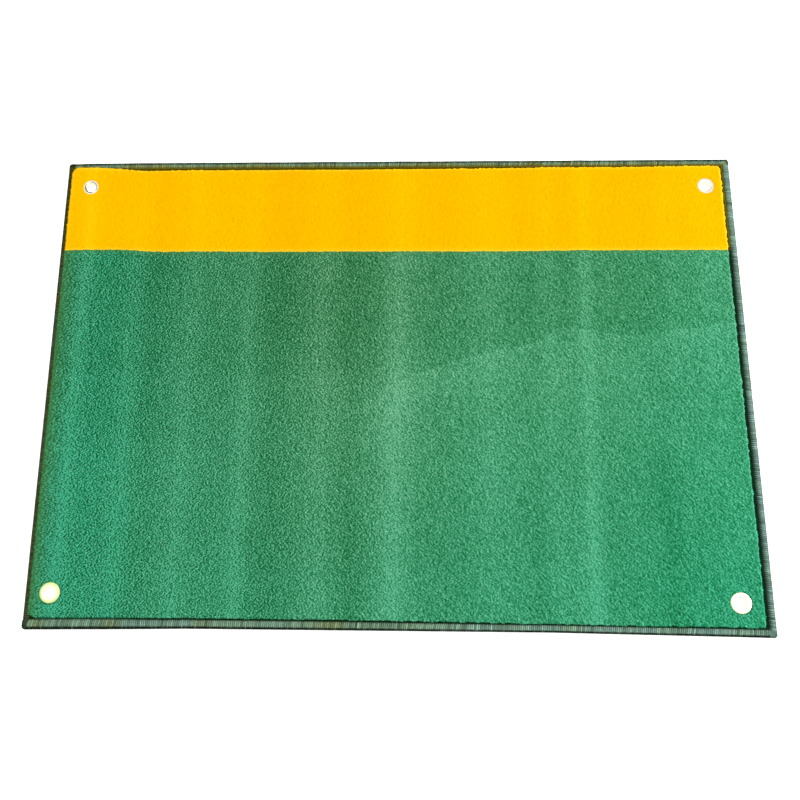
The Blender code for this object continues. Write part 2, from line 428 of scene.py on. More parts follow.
def rubber_material():
    """Foamed rubber: nearly black, with pin-holes and a chalky bloom."""
    material, tree, shader = new_material("foam_rubber")
    place = object_place(tree)
    pores = noise(tree, place, 1400, 3.0, 0.7)
    bloom = noise(tree, place, 18, 4.0, 0.6)
    colour = ramp(tree, bloom, ((0.3, (0.020, 0.021, 0.020)), (0.75, (0.055, 0.056, 0.054))))
    colour = mix(tree, maths(tree, "MULTIPLY", pores, 0.5), colour, (0.008, 0.008, 0.008))
    paint(tree, shader, colour, ramp(tree, bloom, ((0.3, (0.68,) * 3), (0.8, (0.92,) * 3))))
    bump(tree, shader, pores, 0.5, 0.0004)
    return material


def latex_material():
    """Dried latex, brushed on in flowing coats."""
    material, tree, shader = new_material("latex")
    flow = noise(tree, object_place(tree), 60, 4.0, 0.6)
    colour = ramp(tree, flow, ((0.3, (0.36, 0.34, 0.27)), (0.7, (0.50, 0.48, 0.40))))
    paint(tree, shader, colour, 0.55)
    bump(tree, shader, flow, 0.3, 0.0005)
    return material


def cloth_material():
    """Plain-woven tape cloth: two crossed wave patterns."""
    material, tree, shader = new_material("woven_backing")
    place = object_place(tree)
    threads = []
    for direction in ("X", "Y"):
        wave = tree.nodes.new("ShaderNodeTexWave")
        wave.bands_direction = direction
        wave.inputs["Scale"].default_value = 130
        wave.inputs["Distortion"].default_value = 0.6
        tree.links.new(place, wave.inputs["Vector"])
        threads.append(wave.outputs["Fac"])
    weave = maths(tree, "MAXIMUM", *threads)
    colour = ramp(tree, weave, ((0.2, (0.16, 0.15, 0.11)), (0.8, (0.42, 0.40, 0.32))))
    paint(tree, shader, colour, 0.85)
    bump(tree, shader, weave, 0.6, 0.0005)
    return material


# Painted light on the brass, mixed in by attributes: a pale highlight, a bright mouth and bore, and a thin
# dark reflection in the mouth
BRASS_PAINTED_LIGHT = {
    "pale": (0.47, 0.51, 0.43),
    "painted_highlight": (0.97, 0.87, 0.72),
    "tarnish_and_reflection": (0.014, 0.011, 0.008),
}


def brass_material():
    """Rolled brass, with fine handling marks and some tarnish, and painted light: pale where it shines, a
    bright mouth and bore, and dark reflections in the mouth.
    """
    material, tree, shader = new_material("pale_brass")
    place = object_place(tree)
    tarnish_and_reflection = noise(tree, place, 220, 4.0, 0.6)
    marks = noise(tree, place, 2600, 2.0, 0.5, (1, 0.12, 1))
    colour = ramp(tree, tarnish_and_reflection, ((0.35, (0.52, 0.65, 0.23)), (0.7, (0.61, 0.73, 0.33))))
    colour = tinted(tree, colour, BRASS_PAINTED_LIGHT)
    roughness = ramp(tree, marks, ((0.35, (0.24,) * 3), (0.75, (0.42,) * 3)))
    paint(tree, shader, colour, roughness, {"Metallic": 1.0})
    bump(tree, shader, marks, 0.15, 0.0002)
    return material


FLOOR_GLOW = 0.35


def floor_material():
    """A pale table lit from below, which leaves hardly any shadow."""
    material, tree, shader = new_material("studio_floor")
    grain = noise(tree, object_place(tree), 40, 3.0)
    colour = ramp(tree, grain, ((0.0, (0.86,) * 3), (1.0, (0.90,) * 3)))
    paint(tree, shader, colour, 0.9, {"Emission Color": (1, 1, 1), "Emission Strength": FLOOR_GLOW})
    return material


GREEN = pile_material(
    "green_cut_pile",
    root=(0.002, 0.024, 0.007),
    dark=(0.006, 0.084, 0.021),
    body=(0.055, 0.217, 0.091),
    light=(0.190, 0.396, 0.226),
    edge_tint=(0.050, 0.165, 0.042),
    fringe=(0.075, 0.212, 0.042),
    grain=0.45,
    sheen=0.02,
)
YELLOW = pile_material(
    "yellow_cut_pile",
    root=(0.070, 0.052, 0.000),
    dark=(0.740, 0.255, 0.000),
    body=(0.860, 0.372, 0.000),
    light=(0.930, 0.520, 0.010),
    edge_tint=(0.860, 0.355, 0.000),
    fringe=(0.540, 0.490, 0.022),
    grain=0.1,
    sheen=0.0,
)
YARN = yarn_material()
THREAD = thread_material()
RUBBER = rubber_material()
LATEX = latex_material()
CLOTH = cloth_material()
BRASS = brass_material()


# --- pile

PILE_STEP = 1.05 * MM
GREEN_PARTS = 4
YELLOW_PARTS = 2

# Tufts stand on a loose grid. A table holds how far each one is off it, and how tall it is.
TUFT_GAUGE = 2.6 * MM
TUFT_TABLE = 512
TUFT_JITTER = 0.42
VALLEY_DEPTH = 0.9 * MM
VALLEY_SPREAD = 1.7 * MM
TIP_VARIATION = 0.20 * MM
FIBRE_VARIATION = 0.22 * MM
SWELL_HEIGHT = 0.15 * MM
TIPS_BELOW_TOP = 0.35 * MM

# The pile is lower along the line between the colours, along its left side and round its edge.
SEAM_WIDTH = 0.9 * MM
SEAM_DEPTH = 0.4 * MM
LEFT_DROP = 0.8 * MM
ROUND_OFF = 0.4 * MM
ROUND_OFF_REACH = 1.5 * MM

# Outside the full tufts is a crushed ledge, beside the serging.
LEDGE_HEIGHT = 6.2 * MM
LEDGE_FUZZ = 0.25 * MM
EDGE_DROP = 0.7 * MM
LEDGE_STEPS = (2.2 * MM, 4.5 * MM)

# The roots of the outermost full tufts, and how far their tips splay past them: on the left that
# of the green and of the yellow, and at the front and the rear (x, millimetres) along the edge.
PILE_INSET = 13.4 * MM
ROOT_X = HALF_WIDTH - PILE_INSET
ROOT_Y = HALF_DEPTH - PILE_INSET
SPLAY_LEFT = (7.1 * MM, 7.0 * MM)
SPLAY_RIGHT = -0.3 * MM
SPLAY_FRONT = (
    (-0.34, -3.1), (-0.28, -0.4), (-0.20, 0.0), (-0.05, 0.6), (0.05, 1.6), (0.15, 2.9), (0.30, 3.0),
    (0.36, 2.3),
)
SPLAY_REAR = (
    (-0.44, 6.4), (-0.40, 4.6), (-0.374, 2.5), (-0.34, -2.2), (-0.29, -0.6), (-0.22, -1.0), (-0.18, -1.9),
    (-0.13, -1.1), (-0.08, -2.2), (0.02, -1.1), (0.15, -0.4), (0.24, 1.0), (0.30, 0.4), (0.38, 1.5),
    (0.44, 1.9),
)
SPLAY_REACH = 8 * MM
EDGE_RAGGED = 1.2 * MM
RAGGED_REACH = 2.5 * MM
CORNER_ROUND = {"front_left": 4 * MM, "front_right": 5 * MM, "rear_left": 8 * MM, "rear_right": 6 * MM}

# The line between the colours, from left to right: how far it strays rearwards, from which x and
# over what length it takes that up, and how far into the pile on either side it pulls the tufts.
BAND_BENDS = ((3.0 * MM, -0.32, -0.05), (-0.7 * MM, -0.25, 0.1), (1.0 * MM, 0.15, 0.1))
BAND_OFFSET = 0.7 * MM
BAND_RAGGED = 0.5 * MM
BAND_REACH = 12 * MM

# Round an eyelet the pile is folded over the flange's edge. First the hole under the flange and how
# far the fold stands above it, then how far from the centre the pile stands and how dark the painted
# shadow at its foot is.
PILE_HOLE = 8.6 * MM
FOLD_OVER = 0.15 * MM
EYELET_CUT = {
    "front_left": 13.1 * MM,
    "front_right": 12.7 * MM,
    "rear_left": 10.4 * MM,
    "rear_right": 10.9 * MM,
}
EYELET_SHADE = {"front_left": 0.75, "front_right": 0.6, "rear_left": 0.10, "rear_right": 0.10}
EYELET_SHADE_REACH = 1.0 * MM

# Points this close to the cut move onto it, those a little inside it make the foot of the fold,
# and the pile is pressed down towards it.
CUT_SNAP = 0.55 * PILE_STEP
FOOT_FROM = 1.6 * PILE_STEP
FOOT_WIDTH = 0.35 * PILE_STEP
FOOT_DEPTH = 0.3 * MM
PRESS_DEPTH = 0.5 * MM
PRESS_REACH = 2.5 * MM

# How much lighter or darker the pile looks. SHADE is one step of the nap's shade.
SHADE = 0.12
TUFT_SHADE = 0.05
FIBRE_SHADE = 0.72
VALLEY_SHADE = 0.42
YELLOW_GRAIN = 0.060
VIVID_GRAIN = 0.32
YELLOW_SHADES = 0.5
LIT_LEFT = (8.3 * MM, 1.0 * MM, 0.8)
LIT_RIGHT = (14.4 * MM, 1.3 * MM, 3.2)
LIT_REAR = (0.5 * MM, 2.0 * MM, 1.8)
BAND_FRINGE_REACH = 2.0 * MM
EDGE_FRINGE_REACH = 1.3 * MM

# How red the nap looks along the rear and along the front, at places x, and over what y the one
# turns into the other
REDNESS_REAR = (
    (-0.41, 0.62), (-0.385, 0.52), (-0.35, 0.68), (-0.27, 1.00), (-0.21, 1.10), (-0.12, 1.42),
    (-0.07, 1.60), (0.0, 1.46), (0.09, 1.25), (0.28, 1.16), (0.41, 0.96),
)
REDNESS_FRONT = (
    (-0.41, 0.44), (-0.35, 0.52), (-0.29, 0.72), (-0.21, 0.74), (-0.10, 0.93), (0.0, 0.90), (0.10, 0.80),
    (0.25, 0.76), (0.33, 0.58), (0.41, 0.54),
)
REDNESS_Y = (-0.26, 0.12)
REDDEST = 1.65
LEAST_RED = 0.27

# The sharp upper edge of the brushed part of the nap
STROKE = (
    (-0.050, -0.075), (-0.038, -0.030), (-0.018, -0.010), (0.030, 0.011), (0.100, 0.034),
    (0.190, 0.056), (0.205, 0.071), (0.250, 0.070), (0.300, 0.061), (0.360, 0.070), (0.450, 0.080),
)

tuft_jitter = random.uniform(-TUFT_JITTER, TUFT_JITTER, (2, TUFT_TABLE * TUFT_TABLE))
tuft_tips = random.normal(0, 1, TUFT_TABLE * TUFT_TABLE).clip(-2, 2)
edge_wander = Field(2.8 * MM)
pile_swell = Field(24 * MM)
mottle = Field(14 * MM)
broad_mottle = Field(55 * MM)


def nearest_tufts(x, y):
    """For each place, how much further away its second tuft is than its first, and the first's number."""
    column, row = np.floor(x / TUFT_GAUGE).astype(int), np.floor(y / TUFT_GAUGE).astype(int)
    near = np.full(x.shape, np.inf)
    second = near.copy()
    number = np.zeros(x.shape, int)
    for i in (-1, 0, 1):
        for j in (-1, 0, 1):
            here = (column + i) % TUFT_TABLE * TUFT_TABLE + (row + j) % TUFT_TABLE
            tuft_x = (column + i + 0.5 + tuft_jitter[0, here]) * TUFT_GAUGE
            tuft_y = (row + j + 0.5 + tuft_jitter[1, here]) * TUFT_GAUGE
            away = np.hypot(x - tuft_x, y - tuft_y)
            closer = away < near
            second = np.where(closer, near, np.minimum(second, away))
            number = np.where(closer, here, number)
            near = np.minimum(near, away)
    return second - near, number


def nap_shade(x, y):
    """Shade steps of the nap: rolled ridges, a brushed area with a sharp upper edge, mottling."""
    shade = sum(ridge_shapes(x, y))
    right = smooth_step((x + 0.05) / 0.09)
    left_rear = (1 - right) * smooth_step(y / 0.020)
    middle_rear = smooth_step((x + 0.24) / 0.08) * smooth_step((0.38 - x) / 0.1) * smooth_step(y / 0.09)
    left_front = smooth_step((-0.12 - x) / 0.25) * smooth_step((-0.03 - y) / 0.1)
    front = smooth_step((-0.20 - y) / 0.06) * smooth_step((0.30 - x) / 0.06)
    shade = shade + 0.3 * (right - 1) - 0.6 * (left_rear + middle_rear) + 0.7 * left_front + 0.25 * front
    below = read_off(STROKE, x) - y
    brushed = smooth_step(below / 0.005) * smooth_step((x + 0.050) / 0.015)
    shade = shade + brushed * (0.25 + 0.9 * np.exp(-np.clip(below, 0, None) / 0.055))
    return shade + 0.19 * mottle(x, y) + 0.21 * broad_mottle(x, y)


def round_corner(x, y):
    """Squeeze the square corners of the pile's plan into arcs."""
    for corner, radius in CORNER_ROUND.items():
        side_x = -1 if corner.endswith("left") else 1
        side_y = -1 if corner.startswith("front") else 1
        out_x = side_x * x - (ROOT_X - radius)
        out_y = side_y * y - (ROOT_Y - radius)
        inside = (out_x > 0) & (out_y > 0)
        reach = np.hypot(out_x, out_y)
        squeeze = np.where(inside, np.maximum(out_x, out_y) / np.maximum(reach, 1e-9), 1)
        x = np.where(inside, side_x * (ROOT_X - radius + out_x * squeeze), x)
        y = np.where(inside, side_y * (ROOT_Y - radius + out_y * squeeze), y)
    return x, y


def edge_lines(root, rim):
    """Grid lines outside the full tufts: the tufts' side, and then the crushed ledge."""
    return np.array((EDGE_DROP / 2, EDGE_DROP, *LEDGE_STEPS, rim - root)) + root


def band_bend(x, y, band_edge):
    """How far the line between the colours strays from straight, fading away from the line."""
    bend = BAND_OFFSET + BAND_RAGGED * edge_wander(x, 7.0)
    for height, start, length in BAND_BENDS:
        bend = bend + height * smooth_step((x - start) / length)
    return bend * np.exp(-(((y - band_edge) / BAND_REACH) ** 2))


def near_side(distance, reach):
    """1 at a side, falling off with the distance from it."""
    return np.exp(-np.clip(distance, 0, None) / reach)


def pile_points(x, y, band_edge):
    """Places of the pile's points, and how far each is down between tufts or down a side."""
    root_x, root_y = round_corner(x, y)
    inset = np.minimum(ROOT_X - np.abs(x), ROOT_Y - np.abs(y))
    upright = np.clip(1 + inset / EDGE_DROP, 0, 1)
    gap, number = nearest_tufts(root_x, root_y)
    valley = 1 - smooth_step(gap / VALLEY_SPREAD)
    seam = np.exp(-(((y - band_edge) / SEAM_WIDTH) ** 2))
    flop = near_side(x + ROOT_X, SPLAY_REACH)
    full = PILE_TOP - TIPS_BELOW_TOP - VALLEY_DEPTH * valley + TIP_VARIATION * tuft_tips[number]
    full = full + FIBRE_VARIATION * random.uniform(-1, 1, x.shape) + SWELL_HEIGHT * pile_swell(x, y)
    full = full - SEAM_DEPTH * seam - LEFT_DROP * flop - ROUND_OFF * near_side(inset, ROUND_OFF_REACH)
    ledge = LEDGE_HEIGHT + LEDGE_FUZZ * random.uniform(-1, 1, x.shape)
    z = ledge + (full - ledge) * upright

    ragged = EDGE_RAGGED * near_side(inset, RAGGED_REACH) * (1 - 0.6 * flop)
    left_splay = np.where(y > band_edge, SPLAY_LEFT[1], SPLAY_LEFT[0])
    lean_x = SPLAY_RIGHT * near_side(ROOT_X - x, SPLAY_REACH) - left_splay * flop
    front, rear = (MM * read_off(splay, x) for splay in (SPLAY_FRONT, SPLAY_REAR))
    lean_y = rear * near_side(ROOT_Y - y, SPLAY_REACH) - front * near_side(y + ROOT_Y, SPLAY_REACH)
    standing = upright**1.5
    place_x = root_x + standing * (lean_x + ragged * edge_wander(y, x))
    place_y = root_y + standing * (lean_y + ragged * edge_wander(x, y + 0.5))
    place_y = place_y + band_bend(place_x, place_y, band_edge)
    places = laid(np.stack((place_x, place_y, z), -1))
    return places, valley, np.clip(1.2 - 2 * upright, 0, 1), number


def cut_eyelets(places, side):
    """Press the pile down in a circle round each eyelet, over the edge of its flange, and paint shade at
    the fold's foot and a shadow on one side.
    """
    x, y, z = (places[..., axis].copy() for axis in range(3))
    for corner, centre in EYELETS.items():
        cut = EYELET_CUT[corner]
        off_x, off_y = x - centre[0], y - centre[1]
        away = np.maximum(np.hypot(off_x, off_y), 1e-6)
        snapped = np.where(np.abs(away - cut) < CUT_SNAP, cut, away)
        foot = (away <= cut - CUT_SNAP) & (away > cut - FOOT_FROM)
        snapped = np.where(foot, cut - FOOT_WIDTH, snapped)
        standing = smooth_step((snapped - cut + FOOT_WIDTH) / FOOT_WIDTH)
        x = centre[0] + off_x * snapped / away
        y = centre[1] + off_y * snapped / away
        foot_height = LEDGE_HEIGHT - FOOT_DEPTH
        z = foot_height + (z - foot_height) * standing
        z = z - PRESS_DEPTH * near_side(snapped - cut, PRESS_REACH) * standing
        flange_low, flange_high = node_box("eyelet_" + corner)
        over_flange = standing * (snapped < (flange_high[0] - flange_low[0]) / 2 + FIT_GAP)
        z = np.where(over_flange > 0.9, np.maximum(z, flange_high[2] + FOLD_OVER), z)
        # A painted shadow on one side of each eyelet, and painted shade at the foot of the fold
        shade = EYELET_SHADE[corner] * near_side(np.abs(snapped - cut), EYELET_SHADE_REACH)
        side = np.maximum(side, shade * smooth_step(0.5 + 0.8 * (off_x - off_y) / away))
        side = np.maximum(side, 1 - standing)
    return np.stack((x, y, z), -1), side


def vividness(x, y):
    """The pile looks more vivid, less red, along the left and front sides and towards the front right
    corner.
    """
    rear, front = (read_off(redness, x) for redness in (REDNESS_REAR, REDNESS_FRONT))
    redness = front + (rear - front) * np.clip((y - REDNESS_Y[0]) / np.ptp(REDNESS_Y), 0, 1)
    return np.clip((1 - redness / REDDEST) / (1 - LEAST_RED), 0, 1)


def fibre_grain(x):
    """Random grain of single fibres: upright on the left, slanting forwards on the right."""
    grain = random.uniform(-1, 1, x.shape)
    lean = smooth_step((x + 0.25) / 0.40)

    def pair(rows, columns):
        return np.roll(grain, (rows, columns), (0, 1)) + np.roll(grain, (-rows, -columns), (0, 1))

    shaped = grain - 0.16 * pair(0, 2) - 0.05 * pair(2, 0)
    shaped = shaped + (0.11 * lean - 0.08) * pair(0, 1) + (0.08 * lean - 0.01) * pair(1, 0)
    shaped = shaped + 0.16 * lean * pair(-1, 1) - (0.07 + 0.06 * lean) * pair(1, 1)
    return shaped / (0.95 + 0.20 * lean)


def lit_tips(distance, rim):
    """The tips that catch the light along a side: how far in, over what width, and how bright."""
    inset, width, lift = rim
    return lift * np.exp(-(((distance - inset) / width) ** 2))


def pile_shades(places, valley, side, number, beside, behind, band_edge, yellow):
    """The attributes that colour the pile, from its places and how far each is from its sides."""
    x, y = places[..., 0], places[..., 1]
    left, right = HALF_WIDTH + x, HALF_WIDTH - x
    rim = lit_tips(left, LIT_LEFT) + lit_tips(right, LIT_RIGHT)
    grain = TUFT_SHADE * tuft_tips[number] + FIBRE_SHADE * fibre_grain(x)
    grain = grain * (0.82 - 0.38 * x / HALF_WIDTH + 0.33 * (x / HALF_WIDTH) ** 2)
    by_band = near_side(np.abs(band_edge - ROOT_Y + behind), BAND_FRINGE_REACH)
    if yellow:
        rim = rim + lit_tips(behind, LIT_REAR)
        root_shade = VALLEY_SHADE * YELLOW_GRAIN * valley
        tone = YELLOW_GRAIN * grain + YELLOW_SHADES * SHADE * nap_shade(x, y)
        # The yellow is darker towards the right: painted shade that evens out the key light from the right
        tone = tone + 0.9 * SHADE * rim - 0.15 * (1 + x / HALF_WIDTH)
        by_edge = near_side(np.minimum(behind, beside), EDGE_FRINGE_REACH)
        fringe = 0.6 * np.maximum(by_band, by_edge)
        vivid = np.zeros_like(x)
    else:
        root_shade = VALLEY_SHADE * valley
        # Along the left side the green is painted darker: shade where the pile leans away from the light
        tone = grain + SHADE * (nap_shade(x, y) + rim - 1.2 * near_side(left - 8 * MM, 6 * MM))
        fringe = 0.95 * by_band
        vivid = np.clip(vividness(x, y) - VIVID_GRAIN * grain, 0, 1)
    # Painted shade at the roots, on the crushed ledge and round the eyelets, and along the left side
    return {
        "root_shade": np.maximum(root_shade, side),
        "tone": 0.5 + tone,
        "edge_tint": np.clip(1.15 * near_side(left - 5 * MM, 9 * MM), 0, 0.9),
        "fringe": fringe,
        "vivid": vivid,
    }


def cut_bands(node, first, last, count, material):
    """Consecutive bands of grid rows, each a piece of its own, so that no piece is too large."""
    cuts = np.linspace(first, last, count + 1).round().astype(int)
    return [(f"{node}_{n + 1}", node, cuts[n], cuts[n + 1], material) for n in range(count)]


def make_pile():
    """The pile as one grid of points, cut into bands of rows, green and then yellow."""
    band_edge = float(node_box("green_pile")[1][1] + node_box("yellow_pile")[0][1]) / 2
    sides = edge_lines(ROOT_X, RIM_HALF_WIDTH)
    ends = edge_lines(ROOT_Y, RIM_HALF_DEPTH)
    columns = np.concatenate((-sides[::-1], even_lines(-ROOT_X, ROOT_X, PILE_STEP), sides))
    green_rows = np.concatenate((-ends[::-1], even_lines(-ROOT_Y, band_edge, PILE_STEP)))
    yellow_rows = np.concatenate((even_lines(band_edge, ROOT_Y, PILE_STEP), ends))
    rows = np.concatenate((green_rows, yellow_rows[1:]))
    x, y = np.meshgrid(columns, rows)
    places, valley, side, number = pile_points(x, y, band_edge)
    places, side = cut_eyelets(places, side)
    seam_row = len(green_rows) - 1
    bands = cut_bands("green_pile", 0, seam_row, GREEN_PARTS, GREEN)
    bands += cut_bands("yellow_pile", seam_row, len(rows) - 1, YELLOW_PARTS, YELLOW)
    for name, node, low, high, material in bands:
        part = slice(low, high + 1)
        insets = (ROOT_X - np.abs(x[part]), ROOT_Y - y[part])
        looks = (places[part], valley[part], side[part], number[part], *insets)
        attributes = pile_shades(*looks, band_edge, node == "yellow_pile")
        quads = grid_quads(high + 1 - low, len(columns))
        hidden = near_eyelet(places[part, :, 0], places[part, :, 1], PILE_HOLE).ravel()
        quads = quads[~hidden[quads].any(axis=1)]
        points, quads, attributes = used_only(places[part].reshape(-1, 3), quads, attributes)
        piece = new_piece(name, points, quads.tolist(), material, attributes=attributes)
        stand_for(piece, node)


make_pile()


# --- serging

TURN_PITCH = 2.4 * MM
YARN_WIDTH = 2.35 * MM
YARN_THICKNESS = 1.2 * MM
TURN_POINTS = 18
YARN_SIDES = 8
SECTION_POWER = 2 / 2.6
CORNER_RADIUS = 4.0 * MM

# How unevenly the yarn is wound: along the edge, its slant across the edge and how much that
# varies, and its plies, lumps and height
PITCH_WANDER = 0.5 * MM
SLANT = 1.2 * MM
SLANT_WANDER = 0.8 * MM
PLY_DEPTH = 0.08
LUMP_WIDTH = 0.06
LUMP_HEIGHT = 0.05

# How the turns differ in shade, how dark the painted shade in the gaps between them is, and how olive they
# are
TURN_SHADE = 0.12
GAP_SHADE = 0.6
OLIVE_WANDER = 0.22

# Each side: where it starts, which way it runs, its length and how far its outer edge is drawn in
SIDES = (
    ("front", (HALF_WIDTH, -HALF_DEPTH), 180, 2 * HALF_WIDTH, 0.0),
    ("left", (-HALF_WIDTH, -HALF_DEPTH), 90, 2 * HALF_DEPTH, 0.6 * MM),
    ("rear", (-HALF_WIDTH, HALF_DEPTH), 0, 2 * HALF_WIDTH, 0.4 * MM),
    ("right", (HALF_WIDTH, HALF_DEPTH), -90, 2 * HALF_DEPTH, 0.2 * MM),
)

# How much shade is painted on each side's yarn outside, along with darker yarn there (how dark, from where
# out, over how much), inside (how dark, from where in, over how much; 0 is the outer edge and 1 the
# inner), round its corner, and how olive it is
YARN_SHADE_AND_OLIVE = {
    "front": ((1.0, 0.35, 0.13), (0.82, 0.84, 0.14), 0.8, 0.38),
    "left": ((0.72, 0.36, 0.13), (0.68, 0.0, 0.20), 0.9, 0.75),
    "rear": ((0.78, 0.48, 0.14), (0.10, 0.90, 0.12), 0.2, 0.55),
    "right": ((0.14, 0.34, 0.20), (1.0, 0.33, 0.90), 0.5, 0.10),
}

# Where two lengths of yarn join on the front side: a light turn, a dark one and an olive stretch
YARN_JOIN_X = -0.046
JOIN_SHADES = (0.40, -0.45)
JOIN_OLIVE = (0.25, 0.02, 0.025)

# The front side is less olive towards its right end, over this length.
LESS_OLIVE = 0.26
LESS_OLIVE_REACH = 0.5

# Beside the yellow pile the yarn and the thread are painted olive, a reflection of the yellow pile, over
# this length.
YELLOW_FROM = float(node_box("yellow_pile")[0][1])
YELLOW_FADE = 10 * MM

# How much further in than its drawn width the front side's serging reaches (x, millimetres)
FRONT_SPREAD = (
    (-0.34, 3.4), (-0.28, 2.1), (-0.10, 1.7), (0.05, 0.7), (0.15, 0.0), (0.25, 0.0), (0.40, 0.4),
)

YARN_START = SERGING_WIDTH + FIT_GAP
YARN_ANGLES = np.linspace(0, 2 * math.pi, YARN_SIDES, endpoint=False)
slant_field = Field(45 * MM)
pitch_field = Field(18 * MM)
lump_field = Field(9 * MM)
olive_field = Field(22 * MM)


def front_spread(x):
    return MM * read_off(FRONT_SPREAD, x)


def edge_route(s, length, drawn_in, spread):
    """Outer and inner plan points of the serging, s along the outside of one side and its corner.

    The side runs along +X from 0, with the mat towards -Y, and turns the corner at its end.
    """
    straight = length - CORNER_RADIUS
    angle = np.clip((s - straight) / CORNER_RADIUS, 0, math.pi / 2)
    past = np.clip(s - straight - CORNER_RADIUS * math.pi / 2, 0, None)
    outer_x = np.minimum(s, straight) + CORNER_RADIUS * np.sin(angle)
    outer_y = -CORNER_RADIUS * (1 - np.cos(angle)) - past
    inner_x = np.minimum(outer_x, length - SERGING_WIDTH)
    inner_y = np.minimum(-SERGING_WIDTH - spread, outer_y)
    outer_y = np.minimum(outer_y, -drawn_in)
    return np.stack((outer_x, outer_y), -1), np.stack((inner_x, inner_y), -1)


def turned(plan, origin, degrees):
    """Plan points of a side moved from along +X to where that side starts and runs."""
    angle = math.radians(degrees)
    spin = np.array(((math.cos(angle), math.sin(angle)), (-math.sin(angle), math.cos(angle))))
    return plan @ spin + np.array(origin)


def unit(vectors):
    return vectors / np.maximum(np.linalg.norm(vectors, axis=-1, keepdims=True), 1e-12)


def signed_power(value, power):
    """A power that keeps the sign: one under 1 squares up a circle's sine and cosine."""
    return np.sign(value) * np.abs(value) ** power


def yarn_rings(place, seed, phase, s, across):
    """The yarn's section at each step of its winding, and the route of its middle."""
    side, origin, degrees, length, drawn_in = place
    spread = front_spread(HALF_WIDTH - s) if side == "front" else 0
    outer, inside = (turned(plan, origin, degrees) for plan in edge_route(s, length, drawn_in, spread))
    width = np.linalg.norm(inside - outer, axis=1)[:, None]
    inward = (inside - outer) / width
    margin = YARN_THICKNESS / 2
    plan = outer + inward * (margin + across[:, None] * (width - 2 * margin))
    middle = SERGING_TOP / 2
    half_height = middle - margin - 0.1 * MM
    rise = signed_power(np.sin(phase), SECTION_POWER)
    lumps = np.where(rise > 0, 1 + LUMP_HEIGHT * lump_field(s, seed), 1)
    route = np.column_stack((plan, middle + half_height * rise * lumps))

    along = np.column_stack((-inward[:, 1], inward[:, 0], np.zeros(len(plan))))
    outward = unit(np.cross(unit(np.gradient(route, axis=0)), along))
    centre = np.column_stack(((outer + inside) / 2, np.full(len(plan), middle)))
    facing = np.sum(outward * (route - centre), axis=1, keepdims=True)
    outward = outward * np.where(facing < 0, -1, 1)

    ply = 1 + PLY_DEPTH * np.cos(2 * (YARN_ANGLES[None, :] - 2.5 * phase[:, None]))
    half_wide = YARN_WIDTH / 2 * ply * (1 + LUMP_WIDTH * lump_field(s * 3, seed + 5)[:, None])
    half_thick = YARN_THICKNESS / 2 * ply
    rings = route[:, None, :] + along[:, None, :] * (half_wide * np.cos(YARN_ANGLES))[..., None]
    rings = rings + outward[:, None, :] * (half_thick * np.sin(YARN_ANGLES))[..., None]
    return laid(rings), route


def yarn_shades(side, length, seed, turns, s, across, y):
    """The attributes that colour the yarn: each turn's shade, where shade is painted on it, and how olive
    it is, with a painted reflection of the yellow pile.
    """
    turn_shade = random.normal(0, TURN_SHADE, turns + 1).clip(-0.35, 0.35)
    outer_share = random.uniform(0.7, 1.2, turns + 1)
    outer_shade, inner_shade, corner_shade, olive = YARN_SHADE_AND_OLIVE[side]
    patches = olive + OLIVE_WANDER * olive_field(s, seed + 9)
    if side == "front":
        join = HALF_WIDTH - YARN_JOIN_X
        turn = int((join - YARN_START) / TURN_PITCH)
        turn_shade[turn - 1 : turn + 1] = JOIN_SHADES
        strength, offset, reach = JOIN_OLIVE
        patches = patches + strength * np.exp(-(((s - join - offset) / reach) ** 2)) * (s > join)
        patches = patches - LESS_OLIVE * np.clip(1 - s / LESS_OLIVE_REACH, 0, 1)
    turn_shade, outer_share = (
        np.repeat(values, TURN_POINTS)[: len(s)] for values in (turn_shade, outer_share)
    )
    # Beside the yellow pile: a painted olive reflection of it, and less painted shade on the inner side
    yellow_reflection = smooth_step((y - YELLOW_FROM) / YELLOW_FADE)
    inner_share = 1 - 0.75 * yellow_reflection if side != "left" else 1.0
    # Painted shade under the outer edge, on the inner side and round the corner, and in the gaps between
    # turns
    painted_shade = np.maximum(
        np.clip(outer_shade[0] * outer_share, 0, 1) * smooth_step((outer_shade[1] - across) / outer_shade[2]),
        inner_shade[0] * inner_share * smooth_step((across - inner_shade[1]) / inner_shade[2]),
    )
    at_corner = smooth_step((s - length + 9 * MM) / (5 * MM))
    painted_shade = np.maximum(painted_shade, corner_shade * at_corner)
    gaps = GAP_SHADE * np.cos(YARN_ANGLES) ** 4
    patches = patches + yellow_reflection * (1 if side == "left" else smooth_step((across - 0.70) / 0.30))
    return {
        "tone": np.repeat(0.5 + turn_shade, YARN_SIDES),
        "low": np.clip(painted_shade[:, None] + gaps, 0, 1),
        "olive": np.repeat(np.clip(patches, 0, 1), YARN_SIDES),
    }


